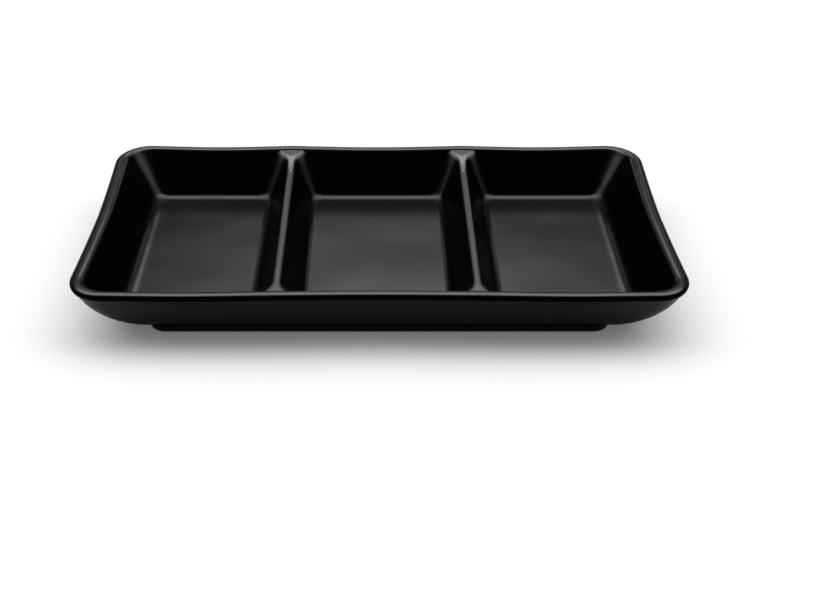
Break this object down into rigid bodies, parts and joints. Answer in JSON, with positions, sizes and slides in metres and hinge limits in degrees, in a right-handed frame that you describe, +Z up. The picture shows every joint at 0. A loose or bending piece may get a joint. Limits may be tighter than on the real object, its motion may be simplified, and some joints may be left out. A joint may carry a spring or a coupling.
{
  "type": "divided serving dish",
  "caption": "Rectangular divided serving dish in satin black glazed stoneware, with a soft rolled rim, low dividers between its wells and a foot ring.",
  "frame": {"origin": "on the table, under the middle of the dish: the centre of the bounding box's bottom", "axes": "+X along the dish, to the right as seen from its front; +Y from its front to its back; +Z up"},
  "size_m": [0.2188, 0.1186, 0.0252],
  "materials": {
    "glaze": "satin black glaze",
    "bare_clay": "dark fired clay, black glaze wiped off where it stands"
  },
  "bodies": {
    "root": {"dish_body": "glaze", "left_divider": "glaze", "right_divider": "glaze", "foot_ring": "bare_clay"}
  },
  "joints": []
}
